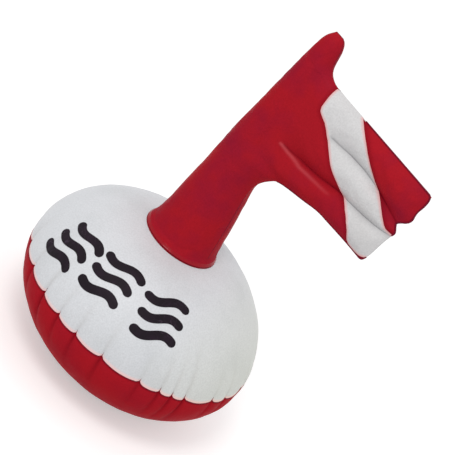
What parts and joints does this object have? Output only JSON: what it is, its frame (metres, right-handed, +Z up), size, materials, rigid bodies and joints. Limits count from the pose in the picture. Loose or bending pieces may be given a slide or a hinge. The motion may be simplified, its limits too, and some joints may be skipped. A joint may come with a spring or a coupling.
{
  "type": "dive flag float",
  "caption": "Round puckered inflatable float, white above and red below, with a cone air mast and an air-filled red flag crossed by a white diagonal",
  "frame": {"origin": "middle of the whole float's footprint box, on the surface that it stands on", "axes": "+X from the mast along the flag, +Z up the mast, -Y the face of the flag that the picture shows"},
  "size_m": [0.4664, 0.4184, 0.6763],
  "materials": {
    "white_pvc": "satin PVC sheet",
    "red_pvc": "satin PVC sheet",
    "clear_pvc": "milky clear PVC",
    "ring_steel": "polished wire"
  },
  "bodies": {
    "float": {"upper_hull_panel": "white_pvc", "lower_hull_panel": "red_pvc", "rim_seam_tape": "white_pvc", "mast_floor_disc": "red_pvc", "mast_base_collar": "red_pvc", "mast_front_sheet": "red_pvc", "mast_back_sheet": "red_pvc", "flag_stripe_front": "white_pvc", "flag_stripe_back": "white_pvc", "hull_valve_body": "clear_pvc", "mast_valve_body": "clear_pvc", "ring_patch": "red_pvc", "ring_keeper": "red_pvc"},
    "hull_valve_stem": {"hull_valve_stem": "clear_pvc"},
    "hull_valve_plug": {"hull_valve_plug": "clear_pvc"},
    "hull_valve_flap": {"hull_valve_flap": "clear_pvc"},
    "mast_valve_stem": {"mast_valve_stem": "clear_pvc"},
    "mast_valve_plug": {"mast_valve_plug": "clear_pvc"},
    "mast_valve_flap": {"mast_valve_flap": "clear_pvc"},
    "tow_ring": {"tow_ring": "ring_steel"}
  },
  "joints": [
    {"name": "hull_valve_stem_slide", "type": "slide", "parent": "float", "child": "hull_valve_stem", "axis": [-0.2902, 0.6569, 0.6959], "range_m": [0, 0.01]},
    {"name": "hull_valve_plug_hinge", "type": "hinge", "parent": "hull_valve_stem", "child": "hull_valve_plug", "pos_m": [-0.09173, 0.13789, 0.23171], "axis": [0.9147, 0.4041, 0], "range_deg": [0, 120]},
    {"name": "hull_valve_flap_hinge", "type": "hinge", "parent": "hull_valve_stem", "child": "hull_valve_flap", "pos_m": [-0.08835, 0.13024, 0.21915], "axis": [-0.9147, -0.4041, 0], "range_deg": [0, 40], "stiffness_Nm_per_rad": 0.0002, "springref_deg": -5.73},
    {"name": "mast_valve_stem_slide", "type": "slide", "parent": "float", "child": "mast_valve_stem", "axis": [0.1296, 0.9846, 0.1177], "range_m": [0, 0.01]},
    {"name": "mast_valve_plug_hinge", "type": "hinge", "parent": "mast_valve_stem", "child": "mast_valve_plug", "pos_m": [-0.03911, 0.04268, 0.37444], "axis": [0.9914, -0.1305, 0], "range_deg": [0, 120]},
    {"name": "mast_valve_flap_hinge", "type": "hinge", "parent": "mast_valve_stem", "child": "mast_valve_flap", "pos_m": [-0.04098, 0.02853, 0.36952], "axis": [-0.9914, 0.1305, 0], "range_deg": [0, 40], "stiffness_Nm_per_rad": 0.0002, "springref_deg": -5.73},
    {"name": "tow_ring_hinge", "type": "hinge", "parent": "float", "child": "tow_ring", "pos_m": [-0.01029, 0.00715, 0.0098], "axis": [0, 1, 0], "range_deg": [-14, 163]}
  ]
}
